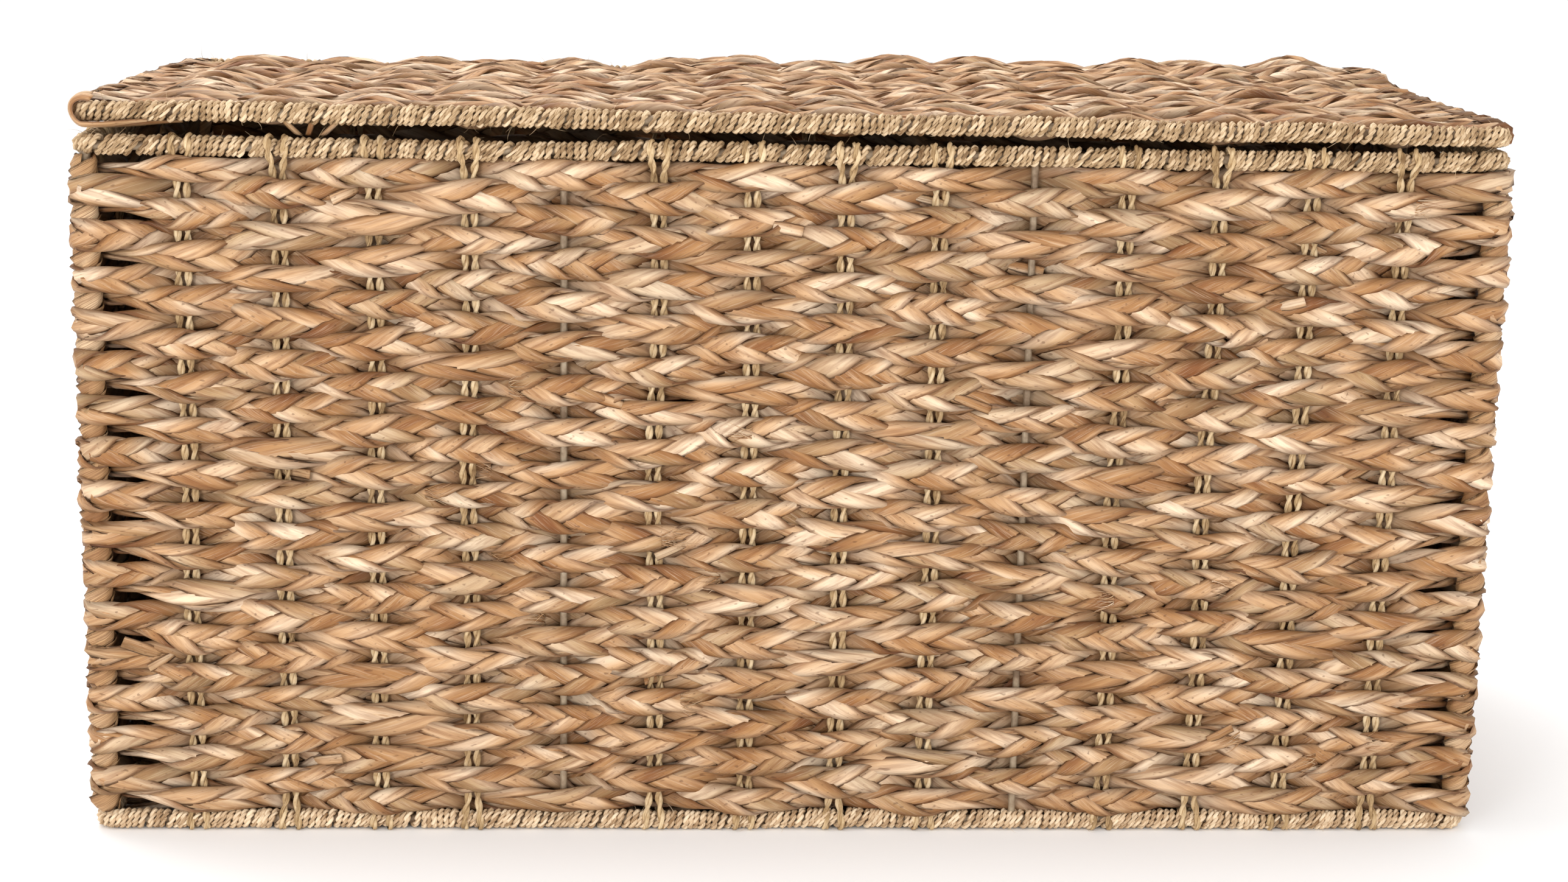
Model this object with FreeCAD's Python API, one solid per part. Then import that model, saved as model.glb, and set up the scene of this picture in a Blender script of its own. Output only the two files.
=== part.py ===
import FreeCAD, Part

import math
import os

os.makedirs("parts", exist_ok=True)

V = FreeCAD.Vector
UP = V(0, 0, 1)

# All sizes are in millimetres. X runs along the trunk, the front faces -Y, and Z is up from the floor.

# Welded steel frame
HALF_W = 394.0            # trunk centre to the side rim rods
HALF_D = 194.0            # trunk centre to the front and back rim rods
RIM_ROD_R = 2.5
RIM_BEND_R = 6.0          # bend of a rim rod at each corner, on its centre line
POST_R = 3.0
STAKE_ROD_R = 2.0
Z_BOTTOM = 5.4            # centre of the bottom rim rod
Z_TOP = 393.0             # centre of the top rim rod
POST_OFFSET = RIM_BEND_R * (1.0 - math.cos(math.pi / 4))
POST_X = HALF_W - POST_OFFSET
POST_Y = HALF_D - POST_OFFSET

# Uprights: bays between neighbouring uprights, and which uprights are bare rods
BAYS_W = 15
BAYS_D = 8
ROD_STAKES_W = (5, 10)
ROD_STAKES_D = (4,)
BAY_W = 2.0 * POST_X / BAYS_W
BAY_D = 2.0 * POST_Y / BAYS_D

# Twisted grass cord
WRAP_R = 5.7              # outside of the cord wound on a rim rod
LEG_R = 1.7               # one leg of a doubled stake cord
LEG_OFFSET = 2.4          # half the distance between the two legs
LOOP_R = 1.8              # the cord where it loops round a rim rod
LOOP_MAJOR_R = 4.8
LOOP_OUTER_R = LOOP_MAJOR_R + LOOP_R
GROOVE_R = 2.9            # floor of the notch in the wrap that a loop lies in
GROOVE_HALF = 4.5
ROD_GAP_HALF = 2.3        # half the break in a wrap where a rod or a hinge link passes
LINK_GAP_HALF = 1.8

# Flat braids in the walls
WALL_ROWS = 31
WALL_BRAID_T = 5.6
WALL_WAVE = 5.2           # how far a braid swings to either side of the uprights
CREST_R = 45.0            # bend of a braid over an upright
ROW_GAP = 0.3
ROWS_LOW = Z_BOTTOM + LOOP_OUTER_R + 0.2
ROWS_HIGH = Z_TOP - LOOP_OUTER_R - 0.2
ROW_PITCH = (ROWS_HIGH - ROWS_LOW) / WALL_ROWS
POST_LEAF_R = 5.0         # outside of the leaf wound on a corner post
BRAID_CLEAR = 0.4         # gap from a corner post's leaf to a braid
CORNER_PASS_R = POST_LEAF_R + BRAID_CLEAR + WALL_BRAID_T / 2
CORNER_INNER_R = 12.0     # bend of a braid that passes inside a corner post

# Flat braids in the lid and the base
PANEL_ROWS = 31
PANEL_BRAID_T = 5.0
PANEL_WAVE = 4.8
HOOK_CLEAR = 0.3
HOOK_R = RIM_ROD_R + HOOK_CLEAR + PANEL_BRAID_T / 2
LID_ROWS_HALF = HALF_D - WRAP_R - 0.3
BASE_MARGIN = WALL_WAVE + WALL_BRAID_T / 2 + 3.0   # from a rim's middle to the base braids
BASE_ROWS_HALF = HALF_D - BASE_MARGIN
BASE_END = HALF_W - BASE_MARGIN
Z_BASE = 7.8              # middle of the base weave

# Lid and its hinge
LID_RISE_BACK = 15.0      # lid rod above body rod at the hinge
LID_RISE_FRONT = 17.1
Z_HINGE = Z_TOP + LID_RISE_BACK
LID_TILT = math.degrees(math.asin((LID_RISE_FRONT - LID_RISE_BACK) / (2.0 * HALF_D)))
LINK_BAYS = (2, 7, 12)    # the hinge links stand in the middle of these bays
LINK_T = 3.0
LINK_R = 4.6
LINK_BORE_R = RIM_ROD_R + 0.05


def save(name, shapes):
    """Write one node as a STEP file and print its solids and volume."""
    shape = shapes[0] if len(shapes) == 1 else Part.makeCompound(shapes)
    solids = shape.Solids
    assert shape.isValid() and len(solids) == len(shapes), name
    shape.exportStep(f"parts/{name}.step")
    volume = sum(solid.Volume for solid in solids)
    print(f"{name:26s} {len(solids):3d} solids {volume / 1000.0:9.2f} cm3")


def rod(start, end, radius):
    """Round bar between two points."""
    along = end - start
    return Part.makeCylinder(radius, along.Length, start, along)


def solid_of(shape):
    """The single solid inside a boolean result."""
    assert len(shape.Solids) == 1
    return shape.Solids[0]


# ---- rim rods and the cord wound on them ----

def corner_torus(radius, sign_x, sign_y):
    """Quarter ring at one corner of a rim, in the plane z = 0."""
    turns = {(1, 1): 0, (-1, 1): 90, (-1, -1): 180, (1, -1): 270}
    piece = Part.makeTorus(RIM_BEND_R, radius, V(0, 0, 0), UP, 0, 360, 90)
    piece.rotate(V(0, 0, 0), UP, turns[(sign_x, sign_y)])
    piece.translate(V(sign_x * (HALF_W - RIM_BEND_R), sign_y * (HALF_D - RIM_BEND_R), 0))
    return piece


CORNERS = ((-1, -1), (1, -1), (1, 1), (-1, 1))


def rim_rod():
    """Closed rectangular rod with bent corners, in the plane z = 0."""
    run_w = HALF_W - RIM_BEND_R
    run_d = HALF_D - RIM_BEND_R
    pieces = []
    for sign in (-1, 1):
        pieces.append(rod(V(-run_w, sign * HALF_D, 0), V(run_w, sign * HALF_D, 0), RIM_ROD_R))
        pieces.append(rod(V(sign * HALF_W, -run_d, 0), V(sign * HALF_W, run_d, 0), RIM_ROD_R))
    for sign_x, sign_y in CORNERS:
        pieces.append(corner_torus(RIM_ROD_R, sign_x, sign_y))
    return solid_of(pieces[0].fuse(pieces[1:]))


def wound_run(half_length, breaks, loops):
    """Cord wound along a straight rod on the X axis.

    breaks lists (position, half gap) where the winding stops, and loops lists the positions of
    stake cords, which lie in a notch of the winding.
    """
    edges = [-half_length]
    for position, half_gap in sorted(breaks):
        edges += [position - half_gap, position + half_gap]
    edges.append(half_length)
    runs = []
    for low, high in zip(edges[::2], edges[1::2]):
        outline = [V(low, 0, RIM_ROD_R), V(low, 0, WRAP_R)]
        for position in sorted(p for p in loops if low < p < high):
            left = position - GROOVE_HALF
            right = position + GROOVE_HALF
            outline += [V(left, 0, WRAP_R), V(left, 0, GROOVE_R)]
            outline += [V(right, 0, GROOVE_R), V(right, 0, WRAP_R)]
        outline += [V(high, 0, WRAP_R), V(high, 0, RIM_ROD_R)]
        face = Part.Face(Part.makePolygon(outline + outline[:1]))
        runs.append(face.revolve(V(0, 0, 0), V(1, 0, 0), 360))
    return runs


def corner_winding(sign_x, sign_y):
    """Cord wound round the bend of a rim rod."""
    return corner_torus(WRAP_R, sign_x, sign_y).cut(corner_torus(RIM_ROD_R, sign_x, sign_y))


def side_of_trunk(shape, side):
    """Move a shape made along the X axis, with -Y outside, to one side of the trunk."""
    angle, offset = {
        "front": (0, V(0, -HALF_D, 0)),
        "right": (90, V(HALF_W, 0, 0)),
        "back": (180, V(0, HALF_D, 0)),
        "left": (270, V(-HALF_W, 0, 0)),
    }[side]
    placed = shape.copy()
    placed.rotate(V(0, 0, 0), UP, angle)
    placed.translate(offset)
    return placed


SIDES = ("front", "right", "back", "left")
BARE_STAKES = {"front": ROD_STAKES_W, "right": ROD_STAKES_D, "back": ROD_STAKES_W, "left": ROD_STAKES_D}


def stake_positions(side):
    """Distances of the inner uprights along one side, from its middle, by their number."""
    bays, bay = (BAYS_W, BAY_W) if side in ("front", "back") else (BAYS_D, BAY_D)
    return {number: (number - bays / 2.0) * bay for number in range(1, bays)}


def link_positions():
    """Where the hinge links stand along X."""
    return [(bay + 0.5 - BAYS_W / 2.0) * BAY_W for bay in LINK_BAYS]


def body_winding(z, with_links):
    """The cord wound on a whole body rim, open where rods and hinge links pass."""
    pieces = []
    for side in SIDES:
        half_length = (HALF_W if side in ("front", "back") else HALF_D) - RIM_BEND_R
        places = stake_positions(side)
        breaks = [(places[n], ROD_GAP_HALF) for n in BARE_STAKES[side]]
        if with_links and side == "back":
            breaks += [(x, LINK_GAP_HALF) for x in link_positions()]
        loops = [p for n, p in places.items() if n not in BARE_STAKES[side]]
        pieces += [side_of_trunk(run, side) for run in wound_run(half_length, breaks, loops)]
    for sign_x, sign_y in CORNERS:
        post = rod(V(0, 0, -10), V(0, 0, 0), POST_R) if z > Z_BOTTOM else rod(V(0, 0, 0), V(0, 0, 10), POST_R)
        post.translate(V(sign_x * POST_X, sign_y * POST_Y, 0))
        pieces.append(solid_of(corner_winding(sign_x, sign_y).cut(post)))
    for piece in pieces:
        piece.translate(V(0, 0, z))
    return pieces


def above_floor(shape):
    """The part of a shape that stands above the floor, pressed flat where it rests."""
    room = Part.makeBox(2.0 * HALF_W + 100, 2.0 * HALF_D + 100, 600, V(-HALF_W - 50, -HALF_D - 50, 0))
    return solid_of(shape.common(room))


# ---- stakes and posts ----

def stake_cord():
    """One cord doubled over the top rim and looped under the bottom rim, standing at x = 0."""
    pieces = []
    for x in (-LEG_OFFSET, LEG_OFFSET):
        pieces.append(rod(V(x, 0, Z_BOTTOM + LOOP_MAJOR_R), V(x, 0, Z_TOP - LOOP_MAJOR_R), LEG_R))
        for z in (Z_BOTTOM, Z_TOP):
            pieces.append(Part.makeTorus(LOOP_MAJOR_R, LOOP_R, V(x, 0, z), V(1, 0, 0)))
    top = Z_TOP + LOOP_MAJOR_R
    pieces.append(rod(V(-LEG_OFFSET, 0, top), V(LEG_OFFSET, 0, top), LEG_R))
    return above_floor(solid_of(pieces[0].fuse(pieces[1:])))


def stake_cords(side, pattern):
    """All the doubled cords of one side."""
    cords = []
    for number, position in stake_positions(side).items():
        if number not in BARE_STAKES[side]:
            cord = pattern.copy()
            cord.translate(V(position, 0, 0))
            cords.append(side_of_trunk(cord, side))
    return cords


def stake_rods(top_rod, bottom_rod):
    """The bare uprights, coped onto the rim rods."""
    rods = []
    for side in SIDES:
        for number in BARE_STAKES[side]:
            x = stake_positions(side)[number]
            upright = side_of_trunk(rod(V(x, 0, Z_BOTTOM), V(x, 0, Z_TOP), STAKE_ROD_R), side)
            rods.append(solid_of(upright.cut(top_rod).cut(bottom_rod)))
    return rods


def corner_post(sign_x, sign_y, top_rod, bottom_rod):
    """Corner upright, coped onto the bends of both rim rods."""
    x = sign_x * POST_X
    y = sign_y * POST_Y
    post = rod(V(x, y, Z_BOTTOM + 1.5), V(x, y, Z_TOP - 1.5), POST_R)
    return solid_of(post.cut(top_rod).cut(bottom_rod))


def post_leaf(sign_x, sign_y):
    """Leaf wound on a corner post between the two rims."""
    x = sign_x * POST_X
    y = sign_y * POST_Y
    low = V(x, y, Z_BOTTOM + WRAP_R + 0.1)
    high = V(x, y, Z_TOP - WRAP_R - 0.1)
    return solid_of(rod(low, high, POST_LEAF_R).cut(rod(low, high, POST_R)))


# ---- braids ----

class Bend:
    """A circle that a braid's middle line bends round; side is 1 if its centre lies to the left."""

    def __init__(self, x, y, radius, side):
        self.x = x
        self.y = y
        self.radius = radius
        self.side = side

    def point(self, heading, shift):
        """The point where a line of this heading, shifted to the right, touches the bend."""
        reach = self.side * self.radius + shift
        return V(self.x + reach * math.sin(heading), self.y - reach * math.cos(heading), 0)


def heading_between(first, second):
    """Direction of the line that leaves one bend and meets the next."""
    dx = second.x - first.x
    dy = second.y - first.y
    rise = second.side * second.radius - first.side * first.radius
    return math.atan2(dy, dx) - math.asin(rise / math.hypot(dx, dy))


def bend_edges(bend, heading_in, heading_out, shift):
    """Arc of one bend, with its end points."""
    turn = bend.side * ((bend.side * (heading_out - heading_in)) % (2.0 * math.pi))
    start = bend.point(heading_in, shift)
    middle = bend.point(heading_in + turn / 2.0, shift)
    end = bend.point(heading_out, shift)
    return Part.Arc(start, middle, end).toShape(), start, end


def braid_line(bends, headings, shift):
    """Edges of a line through the bends, beside the middle line by shift."""
    edges = []
    previous = None
    for bend, (heading_in, heading_out) in zip(bends, headings):
        arc, start, end = bend_edges(bend, heading_in, heading_out, shift)
        if previous is not None:
            edges.append(Part.LineSegment(previous, start).toShape())
        edges.append(arc)
        previous = end
    return edges


def closed_braid(bends, thickness):
    """Flat face of a braid that runs right round through all the bends."""
    links = [heading_between(a, b) for a, b in zip(bends, bends[1:] + bends[:1])]
    headings = list(zip(links[-1:] + links[:-1], links))
    discs = []
    for shift in (thickness / 2.0, -thickness / 2.0):
        edges = braid_line(bends, headings, shift)
        first = bends[0].point(headings[0][0], shift)
        last = bends[-1].point(headings[-1][1], shift)
        edges.append(Part.LineSegment(last, first).toShape())
        discs.append(Part.Face(Part.Wire(edges)))
    return discs[0].cut(discs[1]).Faces[0]


def open_braid(bends, thickness, heading_start, heading_end):
    """Flat face of a braid with two free ends."""
    links = [heading_between(a, b) for a, b in zip(bends, bends[1:])]
    headings = list(zip([heading_start] + links, links + [heading_end]))
    right = braid_line(bends, headings, thickness / 2.0)
    left = braid_line(bends, headings, -thickness / 2.0)
    caps = []
    for bend, heading in ((bends[0], heading_start), (bends[-1], heading_end)):
        caps.append(Part.LineSegment(bend.point(heading, thickness / 2.0),
                                     bend.point(heading, -thickness / 2.0)).toShape())
    return Part.Face(Part.Wire(right + caps[1:] + left[::-1] + caps[:1]))


def wall_bends(row):
    """The bends of one wall row, counter-clockwise from the front left post.

    The braid passes outside an upright where the row's and the upright's numbers add up even.
    """
    bends = []
    count = 0
    corner_signs = {"front": (-1, -1), "right": (1, -1), "back": (1, 1), "left": (-1, 1)}
    normals = {"front": (0, -1), "right": (1, 0), "back": (0, 1), "left": (-1, 0)}
    inward = math.sqrt(0.5)
    for side in SIDES:
        sign_x, sign_y = corner_signs[side]
        if (row + count) % 2 == 0:
            bends.append(Bend(sign_x * POST_X, sign_y * POST_Y, CORNER_PASS_R, 1))
        else:
            back_off = (CORNER_PASS_R + CORNER_INNER_R + BRAID_CLEAR) * inward
            bends.append(Bend(sign_x * (POST_X - back_off), sign_y * (POST_Y - back_off), CORNER_INNER_R, 1))
        count += 1
        normal_x, normal_y = normals[side]
        for position in stake_positions(side).values():
            place = side_of_trunk(Part.Vertex(V(position, 0, 0)), side)
            outside = 1 if (row + count) % 2 == 0 else -1
            reach = outside * (WALL_WAVE - CREST_R)
            bends.append(Bend(place.X + normal_x * reach, place.Y + normal_y * reach, CREST_R, outside))
            count += 1
    return bends


def wall_row(row):
    """One braid of the walls, from the top down."""
    top = ROWS_HIGH - (row - 1) * ROW_PITCH - ROW_GAP / 2.0
    height = ROW_PITCH - ROW_GAP
    band = closed_braid(wall_bends(row), WALL_BRAID_T).extrude(V(0, 0, height))
    band.translate(V(0, 0, top - height))
    return band


def panel_bends(row):
    """The bends of one lid or base row along X, over an upright member where the numbers add up even."""
    bends = []
    for number, position in stake_positions("front").items():
        over = 1 if (row + number) % 2 == 0 else -1
        bends.append(Bend(position, over * (PANEL_WAVE - CREST_R), CREST_R, -over))
    return bends


def stand_up(face, y_low, width):
    """Turn a face drawn with its height along Y into a band of the given width along Y."""
    face.rotate(V(0, 0, 0), V(1, 0, 0), 90)
    face.translate(V(0, y_low + width, 0))
    return face.extrude(V(0, -width, 0))


def lid_row(row):
    """One pass of the lid braid, hooked round both side rods."""
    bends = panel_bends(row)
    over_left = 1 if row % 2 == 0 else -1
    over_right = 1 if (row + BAYS_W) % 2 == 0 else -1
    first = Bend(-HALF_W, 0, HOOK_R, -over_left)
    last = Bend(HALF_W, 0, HOOK_R, -over_right)
    face = open_braid([first] + bends + [last], PANEL_BRAID_T, over_left * math.pi, -over_right * math.pi)
    pitch = 2.0 * LID_ROWS_HALF / PANEL_ROWS
    return stand_up(face, -LID_ROWS_HALF + (row - 1) * pitch + ROW_GAP / 2.0, pitch - ROW_GAP)


def base_row(row):
    """One pass of the base braid, cut off at both side rims."""
    bends = panel_bends(row)
    left_over = 1 if row % 2 == 0 else -1
    right_over = 1 if (row + BAYS_W) % 2 == 0 else -1
    end_reach = PANEL_WAVE - CREST_R
    first = Bend(-BASE_END, left_over * end_reach, CREST_R, -left_over)
    last = Bend(BASE_END, right_over * end_reach, CREST_R, -right_over)
    face = open_braid([first] + bends + [last], PANEL_BRAID_T, 0.0, 0.0)
    pitch = 2.0 * BASE_ROWS_HALF / PANEL_ROWS
    band = stand_up(face, -BASE_ROWS_HALF + (row - 1) * pitch + ROW_GAP / 2.0, pitch - ROW_GAP)
    band.translate(V(0, 0, Z_BASE))
    return band


# ---- lid and hinge ----

def hang_lid(shape):
    """Place a lid piece, made flat in the plane z = 0, at its height and tilt over the hinge."""
    placed = shape.copy()
    placed.rotate(V(0, HALF_D, 0), V(1, 0, 0), -LID_TILT)
    placed.translate(V(0, 0, Z_HINGE))
    return placed


def lid_winding():
    """The cord wound on the lid's front and back rods and its four corners."""
    half_length = HALF_W - RIM_BEND_R
    places = stake_positions("front")
    at_rods = [(places[n], ROD_GAP_HALF) for n in ROD_STAKES_W]
    at_links = [(x, LINK_GAP_HALF) for x in link_positions()]
    pieces = [side_of_trunk(run, "front") for run in wound_run(half_length, at_rods, [])]
    pieces += [side_of_trunk(run, "back") for run in wound_run(half_length, at_rods + at_links, [])]
    pieces += [corner_winding(sign_x, sign_y) for sign_x, sign_y in CORNERS]
    return pieces


def lid_rods(rim):
    """The two bare rods that cross the lid, coped onto its rim rod."""
    places = stake_positions("front")
    rods = []
    for number in ROD_STAKES_W:
        bar = rod(V(places[number], -HALF_D, 0), V(places[number], HALF_D, 0), STAKE_ROD_R)
        rods.append(solid_of(bar.cut(rim)))
    return rods


def lid_cords():
    """The doubled cords that cross the lid from the front winding to the back one."""
    reach = HALF_D - WRAP_R - 0.1
    cords = []
    for number, x in stake_positions("front").items():
        if number not in ROD_STAKES_W:
            cords += [rod(V(x + side * LEG_OFFSET, -reach, 0), V(x + side * LEG_OFFSET, reach, 0), LEG_R)
                      for side in (-1, 1)]
    return cords


def hinge_link(x):
    """Steel plate fixed on the body's back rod, with an eye that the lid's back rod turns in."""
    low = V(x - LINK_T / 2.0, HALF_D, Z_TOP)
    high = V(x - LINK_T / 2.0, HALF_D, Z_HINGE)
    thick = V(LINK_T, 0, 0)
    web = Part.makeBox(LINK_T, 2.0 * LINK_R, LID_RISE_BACK, low - V(0, LINK_R, 0))
    plate = web.fuse([rod(low, low + thick, LINK_R), rod(high, high + thick, LINK_R)])
    plate = plate.cut(rod(low, low + thick, RIM_ROD_R))
    return solid_of(plate.cut(rod(high, high + thick, LINK_BORE_R)))


def base_rods(bottom_rod):
    """The two bare rods that cross the base, coped onto the bottom rim rod."""
    reach = HALF_D - STAKE_ROD_R - 0.1
    places = stake_positions("front")
    rods = []
    for number in ROD_STAKES_W:
        bar = rod(V(places[number], -reach, Z_BASE), V(places[number], reach, Z_BASE), STAKE_ROD_R)
        rods.append(solid_of(bar.cut(bottom_rod)))
    return rods


def base_cords():
    """The doubled cords that cross the base between the front and back rims."""
    reach = HALF_D - LOOP_OUTER_R - 0.1
    cords = []
    for number, x in stake_positions("front").items():
        if number not in ROD_STAKES_W:
            cords += [rod(V(x + side * LEG_OFFSET, -reach, Z_BASE), V(x + side * LEG_OFFSET, reach, Z_BASE), LEG_R)
                      for side in (-1, 1)]
    return cords


# ---- build ----

flat_rod = rim_rod()
top_rod = flat_rod.copy()
top_rod.translate(V(0, 0, Z_TOP))
bottom_rod = flat_rod.copy()
bottom_rod.translate(V(0, 0, Z_BOTTOM))
save("body_top_rod", [top_rod])
save("body_bottom_rod", [bottom_rod])

CORNER_NAMES = {(-1, -1): "front_left", (1, -1): "front_right", (1, 1): "back_right", (-1, 1): "back_left"}
for signs, corner in CORNER_NAMES.items():
    save(f"corner_post_{corner}", [corner_post(*signs, top_rod, bottom_rod)])
    save(f"post_leaf_{corner}", [post_leaf(*signs)])

save("stake_rods", stake_rods(top_rod, bottom_rod))
save("base_rods", base_rods(bottom_rod))
save("top_rim_cord", body_winding(Z_TOP, True))
save("bottom_rim_cord", [above_floor(piece) for piece in body_winding(Z_BOTTOM, False)])

pattern = stake_cord()
for side in SIDES:
    save(f"stake_cords_{side}", stake_cords(side, pattern))

for row in range(1, WALL_ROWS + 1):
    save(f"wall_braid_{row:02d}", [wall_row(row)])

save("base_braids", [base_row(row) for row in range(1, PANEL_ROWS + 1)])
save("base_cords", base_cords())

save("lid_rim_rod", [hang_lid(flat_rod)])
save("lid_cross_rods", [hang_lid(bar) for bar in lid_rods(flat_rod)])
save("lid_rim_cord", [hang_lid(piece) for piece in lid_winding()])
save("lid_cords", [hang_lid(cord) for cord in lid_cords()])
save("lid_braids", [hang_lid(lid_row(row)) for row in range(1, PANEL_ROWS + 1)])

for name, x in zip(("left", "middle", "right"), link_positions()):
    save(f"hinge_link_{name}", [hinge_link(x)])

print(f"hinge axis at y = {HALF_D:.1f}, z = {Z_HINGE:.1f}, lid tilt {LID_TILT:.3f} degrees")
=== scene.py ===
import math
from collections import namedtuple

import bpy
import numpy as np
from mathutils import Matrix, Vector


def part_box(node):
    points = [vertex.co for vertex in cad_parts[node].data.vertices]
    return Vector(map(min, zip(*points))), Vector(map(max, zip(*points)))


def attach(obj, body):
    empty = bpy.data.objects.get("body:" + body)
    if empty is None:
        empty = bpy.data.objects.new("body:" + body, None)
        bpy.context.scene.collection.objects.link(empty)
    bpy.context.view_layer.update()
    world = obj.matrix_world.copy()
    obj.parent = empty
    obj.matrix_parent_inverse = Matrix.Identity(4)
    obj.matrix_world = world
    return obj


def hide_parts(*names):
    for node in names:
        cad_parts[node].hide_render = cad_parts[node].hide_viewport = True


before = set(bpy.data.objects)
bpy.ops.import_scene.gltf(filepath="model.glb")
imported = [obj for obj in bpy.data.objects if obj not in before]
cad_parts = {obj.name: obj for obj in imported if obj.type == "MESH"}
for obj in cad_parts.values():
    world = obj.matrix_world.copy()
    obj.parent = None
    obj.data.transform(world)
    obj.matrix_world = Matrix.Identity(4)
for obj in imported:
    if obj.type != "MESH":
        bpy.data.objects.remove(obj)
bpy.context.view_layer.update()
scene = bpy.context.scene

# All sizes are in metres. X runs along the trunk, the front faces -Y, and Z is up from the floor.
TURN = 2 * math.pi


# ---- places taken from the CAD ----

ROD_R = 0.0025
STAKE_ROD_R = 0.002
ROD_SIDES = 12
FLOOR_GAP = 0.0003
RIM_BEND_R = 0.006
_, top_rod_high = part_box("body_top_rod")
_, bottom_rod_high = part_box("body_bottom_rod")
lid_rod_low, lid_rod_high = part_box("lid_rim_rod")
base_rod_low, base_rod_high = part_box("base_rods")
HALF_W = top_rod_high.x - ROD_R
HALF_D = top_rod_high.y - ROD_R
Z_TOP = top_rod_high.z - ROD_R
Z_BOTTOM = bottom_rod_high.z - ROD_R
Z_HINGE = lid_rod_low.z + ROD_R
LID_TILT = math.asin((lid_rod_high.z - lid_rod_low.z - 2 * ROD_R) / (2 * HALF_D))
Z_BASE = (base_rod_low.z + base_rod_high.z) / 2
LINK_X = [(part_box(f"hinge_link_{name}")[0].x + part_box(f"hinge_link_{name}")[1].x) / 2
          for name in ("left", "middle", "right")]

# Uprights: how many bays each side has, and which uprights are bare rods
BAYS = {"front": 15, "right": 8, "back": 15, "left": 8}
BARE_STAKES = {"front": (5, 10), "right": (4,), "back": (5, 10), "left": (4,)}
SIDES = ("front", "right", "back", "left")
POST_OFFSET = RIM_BEND_R * (1 - math.cos(math.pi / 4))
POST_X = HALF_W - POST_OFFSET
POST_Y = HALF_D - POST_OFFSET
OUTWARD = {"front": (0, -1), "right": (1, 0), "back": (0, 1), "left": (-1, 0)}
ALONG = {"front": (1, 0), "right": (0, 1), "back": (-1, 0), "left": (0, -1)}
# The corners where the sides begin
CORNERS = {"front_left": (-1, -1), "front_right": (1, -1), "back_right": (1, 1), "back_left": (-1, 1)}

# Lines that the braids follow
CREST_R = 0.045  # bend of a braid over an upright
WALL_WAVE = 0.0048  # swing of a wall braid to either side of the uprights
CORNER_PASS_R = 0.0082  # bend of a wall braid round the outside of a corner post
CORNER_INNER_R = 0.012  # bend of a wall braid inside a corner post
CORNER_GAP = 0.0004
CORNER_BACK_OFF = (CORNER_PASS_R + CORNER_INNER_R + CORNER_GAP) * math.sqrt(0.5)
WALL_ROWS = 31
PANEL_ROWS = 31
PANEL_WAVE = 0.0045
HOOK_R = 0.0053  # bend of a lid braid round a side rod
LID_ROWS_HALF = HALF_D - 0.006
BASE_ROWS_HALF = HALF_D - 0.011
BASE_END = HALF_W - 0.011
LID_CORD_REACH = HALF_D - 0.0058
BASE_CORD_REACH = HALF_D - 0.0067

# Leaf plait
PLAIT_PERIOD = 0.083  # length in which a strand crosses and comes back
STRAND_SPREAD = 1.30  # half the phase that one strand covers as it crosses
STRAND_TAPER = 0.27  # how much less of it the strand covers at a fold
PLAIT_LIFT = 0.0009  # how far a strand rises over the others and dips under them
STRAND_TILT = 0.0010  # how far a strand's leading edge stands above its trailing one
STRAND_EDGE = 0.00025  # half thickness of a strand at its edges
STRAND_CROWN = 0.00085  # extra half thickness in its middle
BUNCHING = 0.65  # how far the folds stray from even spacing, in phase
FOLD_RAISE = 0.0004  # how unevenly the folds stand up
FOLD_CHANGE = 0.11  # unevenness of the folds' reach, of the strands' width and of the braid's width
STRAND_CHANGE = 0.09
WIDTH_CHANGE = 0.07
BRAID_DRIFT = 0.0005
INSIDE_SHADE = 0.5  # how much painted shade darkens a braid where it passes inside an upright
EDGE_SHADE = 0.45  # how much painted shade darkens it along its edges
WALL_HALF_WIDTH = 0.0069  # a wall braid's, and what is added where it passes outside or inside an upright
WALL_OUTSIDE_EXTRA = 0.0007
WALL_INSIDE_EXTRA = 0.0010
PANEL_HALF_WIDTH = 0.0070
PANEL_PASS_EXTRA = 0.0010
WALL_RELIEF = 1.3  # how strongly the strands stand up in the walls, the lid and the base
LID_RELIEF = 1.6
BASE_RELIEF = 1.0

# Twisted grass cord
COIL_R = 0.0041  # middle of the cord wound on a rim rod
COIL_PITCH = 0.0037
COIL_STEPS = 22
PLY_R = 0.00125  # each cord is two plies
PLY_OFFSET = 0.00085
COIL_LEAN = 0.3  # slant of the turns along the rim
COIL_GAP_HALF = 0.0024  # half the break in a winding where a hinge link passes
PLY_TWIST = 0.0074
COIL_CROWDING = 1.4  # how far the turns stray from even spacing, in radians
LOOP_PRESS = 0.0009  # how far a loop presses the winding in
LEG_PLY_R = 0.00127
LEG_PLY_OFFSET = 0.00105
LEG_TWIST = 0.019
LEG_OFFSET = 0.0027  # of each leg of a doubled cord from its middle
LOOP_SPREAD = 0.0046  # the same where the cord loops round a rim
LOOP_REACH = 0.0056  # middle of a loop out from the rim rod, and above or below it
LOOP_RISE = 0.0058
LEG_STEP = 0.0022
LEG_SWAY = 0.0009

rng = np.random.default_rng(7)


# ---- lines through bends, as in the CAD ----

Bend = namedtuple("Bend", "x y radius side")
ARC_POINTS = 9


def heading_between(first, second):
    """Direction of the line that leaves one bend and meets the next."""
    dx = second.x - first.x
    dy = second.y - first.y
    rise = second.side * second.radius - first.side * first.radius
    return math.atan2(dy, dx) - math.asin(rise / math.hypot(dx, dy))


def arc(bend, heading_in, heading_out):
    """Points and headings along one bend."""
    turn = bend.side * ((bend.side * (heading_out - heading_in)) % TURN)
    heading = heading_in + turn * np.linspace(0, 1, ARC_POINTS)
    reach = bend.side * bend.radius
    return np.column_stack((bend.x + reach * np.sin(heading), bend.y - reach * np.cos(heading), heading))


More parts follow.
